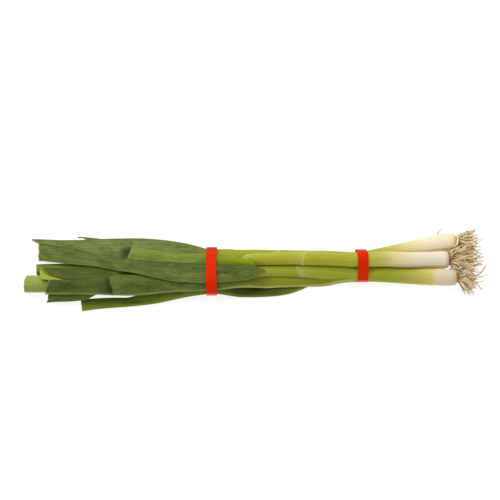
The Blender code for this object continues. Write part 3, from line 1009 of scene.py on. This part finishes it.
def tubes(
    paths: Array, thick: Array, sides: int, rng: np.random.Generator
) -> tuple[Array, list[Array], Array]:
    """Thin tapering tubes along many paths at once, each closed with a point at its tip.

    Args:
        paths: Points of shape (tubes, steps, 3).
        thick: Each tube's diameter at its start.
        sides: Corners of each tube's section.
        rng: The source of each tube's shade.
    Returns:
        Points, faces and an age for every point: a random tone for each tube, darker and browner towards its
            start.
    """
    n, steps = paths.shape[:2]
    along = np.gradient(paths, axis=1)
    along /= np.linalg.norm(along, axis=2, keepdims=True)
    side = np.cross(along, [0.12, 0.2, 1.0])
    side /= np.linalg.norm(side, axis=2, keepdims=True)
    up = np.cross(side, along)
    t = np.linspace(0, 1, steps)
    radius = thick[:, None] / 2 * (1 - 0.42 * t**1.8)
    turn = np.linspace(0, 2 * math.pi, sides, endpoint=False)
    ring = side[:, :, None] * np.cos(turn)[:, None] + up[:, :, None] * np.sin(turn)[:, None]
    body = paths[:, :, None] + ring * radius[:, :, None, None]
    tips = np.stack([paths[:, 0] - along[:, 0] * 0.1, paths[:, -1] + along[:, -1] * 0.15], axis=1)
    points = np.concatenate([body.reshape(n, -1, 3), tips], axis=1).reshape(-1, 3)
    first = (np.arange(n) * (steps * sides + 2))[:, None, None]
    faces = [(block[None] + first).reshape(-1, block.shape[1]) for block in tube_faces(steps, sides)]
    # Darker and browner towards the plate: partly the roots' own colour, partly painted shade where they
    # crowd together.
    shade = rng.uniform(0.1, 1.0, n)[:, None] * (0.3 + 0.7 * ease(t, 0.0, 0.35))
    age = np.concatenate([np.repeat(shade, sides, axis=1), shade[:, [0, -1]]], axis=1)
    return points, faces, age.ravel()


@dataclass
class Band:
    """A flat rubber band, stretched in a closed loop round the bunch.

    Attributes:
        node: The solid that the band stands for.
        seed: Sets its small irregularities.
        bow: How far its middle wanders along X, in mm.
        count: The points along its loop.
        corners: The points round its section.
        thick: The thickness of the rubber, in mm.
        upright: The Y past which it no longer leans.
        back_shade_reach: How far from its back the painted shade starts and is at its full strength, in mm.
        reflection_reach: How far from its lowest front edge the painted reflection of the white floor starts
            and is at its full strength, in mm.
    """

    node: str
    seed: int
    bow: float = 0.3
    count: int = 320
    corners: int = 28
    thick: float = 0.9
    upright: float = 4.0
    back_shade_reach: tuple[float, float] = (13.0, 7.0)
    reflection_reach: tuple[float, float] = (2.0, 1.2)

    def build(self) -> bpy.types.Object:
        """Make the loop: the solid's outline with a rounded flat section, its edges wandering slightly."""
        points = corners_of(self.node)
        outline = convex(points[:, 1:])
        path, outward = even_loop(outline, self.count)
        lean = np.polyfit(points[:, 1], points[:, 0], 1)
        middle = np.polyval(lean, np.minimum(path[:, 0], self.upright))
        width = np.ptp(points[:, 0] - np.polyval(lean, points[:, 1]))
        corner = np.linspace(0, 2 * math.pi, self.corners, endpoint=False)
        flat, high = np.sign(np.cos(corner)), np.sign(np.sin(corner))
        along = width / 2 * flat * np.abs(np.cos(corner)) ** 0.16
        out = self.thick / 2 * high * np.abs(np.sin(corner)) ** 0.32 - self.thick / 2
        s = np.linspace(0, 2 * math.pi, self.count, endpoint=False)[:, None]
        drift = self.bow * np.sin(2 * s + self.seed) * 0.5 + 0.06 * np.sin(7 * s + 2 * self.seed)
        narrow = 1 - 0.02 * np.cos(3 * s + self.seed)
        x = middle[:, None] + along * narrow + drift
        yz = path[:, None, :] + outward[:, None, :] * out[None, :, None]
        rings = np.concatenate([x[:, :, None], yz], axis=2)
        quads = grid_quads(self.count, self.corners, closed=True)[:, [0, 3, 2, 1]]
        back = rings[:, :, 1].max()
        # Painted shade: the band darkens towards the back of its loop.
        painted_back_shade = 0.75 * ease(rings[:, :, 1], back - self.back_shade_reach[0], back - self.back_shade_reach[1])
        # Painted reflection of the white floor: a pale strip along the band's lowest front edge.
        low = 0.87 * rings[:, :, 1] + 0.5 * rings[:, :, 2]
        painted_floor_reflection = 0.55 * ease(low.min() - low, -self.reflection_reach[0], -self.reflection_reach[1])
        painted_floor_reflection = painted_floor_reflection * (0.9 + 0.1 * waves(x * 1.7, self.seed))
        numbers = {"painted_back_shade": painted_back_shade.ravel(), "painted_floor_reflection": np.clip(painted_floor_reflection, 0, 1).ravel()}
        return solid(self.node, "rubber", rings.reshape(-1, 3), [quads], numbers, RubberFinish())


def convex(points: Array) -> Array:
    """The convex outline of points in a plane: the furthest point in each of many directions, in order."""
    turn = np.linspace(0, 2 * math.pi, 1440, endpoint=False)
    far = np.argmax(points @ np.stack([np.cos(turn), np.sin(turn)]), axis=0)
    kept = far[np.concatenate([[True], np.diff(far) != 0])]
    return points[kept[:-1] if kept[0] == kept[-1] else kept]


def even_loop(outline: Array, count: int) -> tuple[Array, Array]:
    """Even, slightly rounded points round an outline, and the outward direction at each."""
    closed = np.vstack([outline, outline[:1]])
    length = np.concatenate([[0], np.cumsum(np.linalg.norm(np.diff(closed, axis=0), axis=1))])
    even = np.linspace(0, length[-1], count, endpoint=False)
    path = np.stack([np.interp(even, length, closed[:, k]) for k in (0, 1)], axis=1)
    kernel = np.array([1, 2, 3, 2, 1]) / 9.0
    ahead = [np.roll(path, k, axis=0) for k in (-2, -1, 0, 1, 2)]
    path = sum(w * p for w, p in zip(kernel, ahead))
    along = np.roll(path, -1, axis=0) - np.roll(path, 1, axis=0)
    along /= np.linalg.norm(along, axis=1)[:, None]
    return path, np.stack([along[:, 1], -along[:, 0]], axis=1)


# ---------------------------------------------------------------- the bunch


class Side(Enum):
    """The three onions, by where their bulbs lie."""

    FRONT = "front"
    MIDDLE = "middle"
    BACK = "back"


@dataclass
class Onion:
    """One onion: its stem, its root plate and its roots."""

    side: Side
    look: ShankLook
    roots: Roots

    def build(self) -> int:
        """Make the onion's pieces and return how many there are."""
        made = [Shank(self.look).build(), RootPlate(self.side.value).build(), self.roots.build()]
        return len(made)


def onions() -> list[Onion]:
    """The three onions with the marks that each one bears."""
    front = ShankLook(
        "shank_front",
        (108, 205),
        (
            SheathEdge(162.0, 2.5, 0.35, towards_base=False, pale=0.25),
            SheathEdge(38.0, -6.0, 0.3, pale=0.6, halo=6.0),
            SheathEdge(1.0, 5.0, 0.2, pale=0.5, halo=6.0),
        ),
        ShankFinish(white=(216, 203, 170), green=(152, 160, 30), lime=(194, 188, 90)),
        tan=0.3,
        seed=3,
    )
    middle = ShankLook(
        "shank_middle",
        (70, 164),
        (SheathEdge(44.5, 5.0, 0.3, pale=0.6, halo=-5.0), SheathEdge(-9.0, 5.0, 0.08, pale=0.35, halo=4.0)),
        ShankFinish(green=(164, 168, 34)),
        scrap=(42.5, 3.45, 2.0),
        seed=7,
    )
    back = ShankLook(
        "shank_back",
        (84, 170),
        (SheathEdge(20.0, 6.0, 0.3),),
        ShankFinish(white=(240, 230, 196)),
        tan=0.6,
        seed=11,
    )
    return [Onion(side, look, roots) for side, look, roots in zip(Side, (front, middle, back), tufts())]


def tufts() -> list[Roots]:
    """The three tufts of roots, each with the long stray roots that stand out from it."""
    front = Roots(
        "front",
        (
            Fan(50, 19.0, (-0.75, -0.22), (0.16, 0.12), (0.7, 1.4)),
            Fan(36, 20.0, (0.0, 0.0), (0.42, 0.22)),
        ),
        (
            Strand(((183, -1.5, 8.5), (192, -5.0, 8), (201, -4.0, 6), (210.5, 6.5, 6)), 1.45),
            Strand(((183, -3.0, 7.0), (192, -8.5, 6), (200.6, -5.5, 5), (211.5, -2.5, 4)), 1.45),
            Strand(((183, -5.0, 6.0), (192, -12.5, 5), (202.0, -10.5, 5), (207, -8.5, 4)), 1.4),
            Strand(((183, -6.0, 8.0), (197.6, -9.5, 6), (204.9, -18.0, 4)), 1.5),
            Strand(((184.6, -9.0, 12.0), (189, -6.5, 13), (193, -2.5, 12)), 1.7),
            Strand(((184, -8.0, 10.0), (190, -12.5, 9), (197.5, -17.0, 6)), 1.6),
            Strand(((184, -1.0, 9.0), (184.6, 2.0, 10.0), (187, 4.0, 10.0), (192, 3.0, 8.5)), 1.6),
            Strand(((184, -2.5, 12.0), (185.5, 0.5, 12.5), (189, 1.5, 11.5), (195, -1.0, 9.0)), 1.5),
        ),
        seed=21,
    )
    middle = Roots(
        "middle",
        (
            Fan(56, 29.0, (0.02, 0.02), (0.24, 0.16)),
            Fan(40, 23.0, (0.1, 0.1), (0.5, 0.3)),
        ),
        (
            Strand(((177.5, 5.0, 12.5), (185.0, 4.0, 14), (192, -1.0, 12), (198.5, -5.0, 9)), 1.9),
            Strand(((177.5, 7.0, 13.0), (186.0, 5.5, 14.5), (193.5, 1.5, 12), (199, -3.0, 10)), 1.8),
            Strand(((178, 12.0, 14.0), (186, 18.0, 14), (194.5, 15.0, 13), (201.1, 22.0, 12)), 1.6),
            Strand(((178, 10.0, 10.0), (188, 9.0, 10), (196.3, 7.5, 9), (204.4, 15.5, 8)), 1.5),
            Strand(((178, 12.0, 9.0), (192, 18.0, 9), (207.1, 22.5, 7)), 1.4),
            Strand(((178, 11.0, 8.0), (194, 13.0, 8), (201, 18.0, 8), (207.5, 18.0, 8)), 1.4),
            Strand(((178, 11.0, 8.0), (192, 11.0, 8), (208.8, 15.5, 6)), 1.4),
            Strand(((178, 9.0, 8.0), (194, 9.5, 8), (208.4, 11.0, 6)), 1.4),
            Strand(((177.6, 11.0, 13.5), (178.6, 15.5, 14.0), (182.0, 19.0, 14.0), (188.0, 19.5, 12.0)), 1.6),
            Strand(((177.6, 12.5, 12.0), (179.0, 18.0, 12.5), (184.0, 21.0, 12.5), (191.0, 25.0, 11.0)), 1.5),
            Strand(((177.6, 9.0, 14.5), (179.5, 13.5, 15.0), (184.0, 16.0, 14.5), (190.0, 22.0, 12.0)), 1.5),
            Strand(((177.6, 13.0, 9.0), (178.2, 16.5, 10.0), (181.0, 17.5, 11.0), (186.0, 15.0, 11.0)), 1.5),
            Strand(((177.6, 5.5, 11.0), (179.5, 3.0, 12.0), (183.5, 0.0, 11.5), (189.0, 1.5, 9.5)), 1.7),
            Strand(((177.6, 4.0, 9.0), (180.0, 0.0, 10.0), (185.0, -3.0, 9.5), (191.0, -2.0, 8.0)), 1.6),
            Strand(((177.6, 7.0, 8.0), (182.0, 5.0, 9.0), (187.0, 2.0, 9.0), (193.0, 4.5, 8.0)), 1.6),
            Strand(((177.6, 6.0, 13.0), (180.5, 4.5, 14.0), (184.0, 3.0, 13.0), (187.0, 0.5, 11.5)), 1.5),
            Strand(((174.5, 18.2, 8.0), (177.0, 19.4, 8.5), (181.0, 18.4, 9.5), (187.0, 16.5, 10.0)), 2.2),
            Strand(((176.0, 15.6, 9.5), (178.0, 17.2, 10.5), (182.0, 16.8, 11.0), (188.0, 13.0, 10.0)), 1.9),
            Strand(((175.0, 6.8, 7.5), (178.0, 6.2, 8.0), (182.0, 5.0, 8.5), (188.0, 4.0, 8.5)), 1.9),
            Strand(((176.5, 1.8, 8.0), (179.5, 1.0, 8.0), (184.0, 0.8, 8.5), (190.0, 1.5, 8.0)), 1.8),
            Strand(((178, 8.0, 8.0), (194, 5.0, 8), (207.5, 7.5, 6)), 1.4),
        ),
        seed=22,
    )
    back = Roots(
        "back",
        (
            Fan(56, 22.0, (0.1, 0.0), (0.26, 0.16)),
            Fan(38, 18.0, (-0.1, 0.25), (0.5, 0.3)),
        ),
        (
            Strand(((179.9, 21.5, 12.0), (183.8, 23.5, 15), (184.6, 28.0, 16.5), (183.4, 34.0, 18)), 1.9),
            Strand(((181.3, 17.0, 12.0), (183.5, 19.5, 14), (185.9, 22.0, 13)), 1.8),
            Strand(((167.2, 36.0, 11.0), (168.6, 37.0, 15), (171.0, 37.5, 20)), 1.3),
            Strand(((182, 30.0, 10.0), (191.8, 33.5, 11), (197.2, 35.5, 12), (201.1, 38.0, 14)), 1.5),
            Strand(((182, 30.0, 9.0), (192, 32.0, 10), (199.5, 37.0, 13)), 1.5),
            Strand(((181.9, 32.0, 10.0), (187.3, 35.5, 12), (192.4, 37.2, 13.5)), 1.5),
            Strand(((181.9, 28.5, 9.0), (193.6, 30.0, 9), (204.0, 34.0, 8)), 1.5),
        ),
        seed=23,
    )
    return [front, middle, back]


def leaves() -> list[LeafLook]:
    """Every leaf of the bunch, from the lowest to the one on top."""
    plain = {"young": (-60.0, 40.0)}
    dark = {"blade": (58, 76, 8), "bloom": (108, 126, 46)}
    return [
        LeafLook(
            "leaf_tube_back",
            LeafFinish(blade=(68, 86, 14), bloom=(146, 162, 84)),
            Cut(1.0, 0.3),
            0.9,
            oldest=0.85,
            rims=(0.0, 0.0),
            **plain,
        ),
        LeafLook(
            "leaf_tube_front",
            LeafFinish(blade=(136, 155, 62), bloom=(172, 185, 100), inside=(170, 178, 90)),
            Cut(-2.0, 0.5),
            1.6,
            oldest=0.9,
            rims=(0.0, 0.0),
            seed=4,
            **plain,
        ),
        LeafLook("leaf_sliver", LeafFinish(), Cut(0, 0.1, trim=-4.0), 0.3, oldest=0.9, seed=5, **plain),
        LeafLook(
            "leaf_low",
            LeafFinish(blade=(74, 95, 12), bloom=(122, 142, 46), rim=(152, 160, 34)),
            Cut(1.5, 0.3),
            0.5,
            young=(16, 60),
            rims=(1.0, 0.2),
            rim_width=2.6,
            shaded=(-2.0, 46.0, 0.85),
            seed=6,
        ),
        LeafLook("leaf_flap", LeafFinish(**dark), Cut(-3.0, 0.8), 0.4, seed=7, **plain),
        LeafLook(
            "leaf_split",
            LeafFinish(blade=(46, 63, 6), bloom=(92, 110, 36), inside=(152, 158, 44)),
            Cut(3.0, 0.8, upper=(28.0, 3.0), curl=1.6),
            0.5,
            rims=(0.4, 0.5),
            seed=8,
            **plain,
        ),
        LeafLook(
            "leaf_creased",
            LeafFinish(blade=(52, 70, 10), bloom=(112, 130, 58), young=(130, 138, 36)),
            Cut(-3.5, 0.8, curl=0.6),
            0.5,
            young=(-40, 5),
            creases=(Crease(-129.4, 1.5, 5.0, -4.7, shade=0.9),),
            rims=(0.95, 0.1),
            rim_width=1.7,
            shaded=(-168.0, 32.0, 0.42),
            tail=(7.0, 6.0),
            flare=(15.0, 0.8),
            seed=9,
        ),
        LeafLook(
            "leaf_upper",
            LeafFinish(blade=(62, 80, 12), bloom=(132, 147, 78), young=(153, 158, 37), bloom_amount=0.85),
            Cut(2.0, 0.5, curl=1.8, tip=5.5),
            0.5,
            young=(-62, -20),
            tail=(4.0, 1.6),
            sink=2.5,
            creases=(Crease(-113.5, 2.0, 6.0, 7.0, (-0.3, 0.55), shade=1.3),),
            rims=(0.4, 0.3),
            collar=6.0,
            seed=10,
        ),
        LeafLook(
            "leaf_stripe",
            LeafFinish(blade=(88, 110, 20), bloom=(148, 162, 82), young=(136, 152, 22)),
            Cut(-4.5, 0.5),
            0.5,
            young=(-60, -5),
            oldest=0.85,
            ridge=(0.2, 0.8),
            rims=(0.5, 0.35),
            painted_edge_shade=(0.35, 0.0),
            collar=-7.0,
            tail=(3.0, 1.0),
            sink=1.5,
            seed=11,
        ),
        LeafLook(
            "leaf_wide",
            LeafFinish(blade=(54, 72, 8), bloom=(122, 138, 66)),
            Cut(1.2, 0.5, curl=1.0, trim=-3.6),
            0.5,
            young=(-10, 30),
            ridge=(0.8, 0.8),
            rims=(0.8, 0.2),
            painted_edge_shade=(0.0, 0.9),
            seed=12,
        ),
    ]


# ---------------------------------------------------------------- studio


@dataclass(frozen=True)
class Studio:
    """A white floor under soft light, and the camera."""

    aim: tuple[float, float, float] = (-4.65, 26.1, 0.0)
    elevation: float = 60.0
    distance: float = 1279.0
    lens: float = 100.0
    floor_side: float = 12.0
    floor_grey: float = 0.24
    floor_glow: float = 0.84

    def build(self) -> None:
        """Make the floor, the lights, the world and the camera."""
        self.floor()
        self.light("key", (-0.45, 0.4, 0.95), 0.9, 0.7, 9.0)
        self.light("fill", (0.6, -0.75, 0.6), 1.1, 0.9, 1.6)
        self.light("back", (0.2, 0.9, 0.5), 0.9, 0.5, 1.6)
        world = bpy.data.worlds.new("studio")
        world.use_nodes = True
        world.node_tree.nodes["Background"].inputs["Color"].default_value = (1, 1, 1, 1)
        world.node_tree.nodes["Background"].inputs["Strength"].default_value = 0.5
        bpy.context.scene.world = world
        bpy.context.scene.view_settings.view_transform = "Standard"
        self.camera()

    def floor(self) -> None:
        """A wide matt white floor, which is not part of the bunch."""
        mesh = bpy.data.meshes.new("floor")
        side = self.floor_side / 2
        corners = [(-side, -side, 0), (side, -side, 0), (side, side, 0), (-side, side, 0)]
        mesh.from_pydata(corners, [], [(0, 1, 2, 3)])
        g = Graph("floor_finish")
        white, grey = (1.0, 1.0, 1.0, 1.0), (*[self.floor_grey] * 3, 1.0)
        sockets = {"Specular_IOR_Level": 0.0, "Emission_Color": white, "Emission_Strength": self.floor_glow}
        mesh.materials.append(g.finish(Base_Color=grey, Roughness=0.9, **sockets))
        made = bpy.data.objects.new("floor", mesh)
        bpy.context.scene.collection.objects.link(made)
        made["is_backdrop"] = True

    def light(
        self, name: str, at: tuple[float, float, float], wide: float, tall: float, watts: float
    ) -> None:
        """A large soft lamp that faces the bunch."""
        lamp = bpy.data.lights.new(name, "AREA")
        lamp.shape, lamp.size, lamp.size_y, lamp.energy = "RECTANGLE", wide, tall, watts
        made = bpy.data.objects.new(name, lamp)
        made.location = at
        aim = -made.location.normalized()
        made.rotation_euler = aim.to_track_quat("-Z", "Y").to_euler()
        bpy.context.scene.collection.objects.link(made)
        made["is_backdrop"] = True

    def camera(self) -> None:
        """A long lens that looks down on the bunch from the front."""
        data = bpy.data.cameras.new("camera")
        data.lens, data.sensor_width = self.lens, 36.0
        made = bpy.data.objects.new("camera", data)
        rise = math.radians(self.elevation)
        x, y, z = (value * MM for value in self.aim)
        away = self.distance * MM
        made.location = (x, y - away * math.cos(rise), z + away * math.sin(rise))
        made.rotation_euler = (math.radians(90.0) - rise, 0.0, 0.0)
        bpy.context.scene.collection.objects.link(made)
        bpy.context.scene.camera = made


def main() -> None:
    """Build the bunch and the studio, and report."""
    logging.basicConfig(level=logging.INFO)
    for onion in onions():
        LOG.info("%s onion: %d pieces", onion.side.value, onion.build())
    for look in leaves():
        Leaf(look).build()
        LOG.info("%s", look.node)
    for node, seed in (("band_leaf_end", 1), ("band_bulb_end", 4)):
        Band(node, seed).build()
        LOG.info("%s", node)
    Studio().build()
    sizes = {"solids": plain(size_of_solids), "shown": plain(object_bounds())}


def plain(value: object) -> object:
    """Bounds as plain lists of numbers."""
    return np.array(value, dtype=float).tolist()


if __name__ == "__main__":
    main()
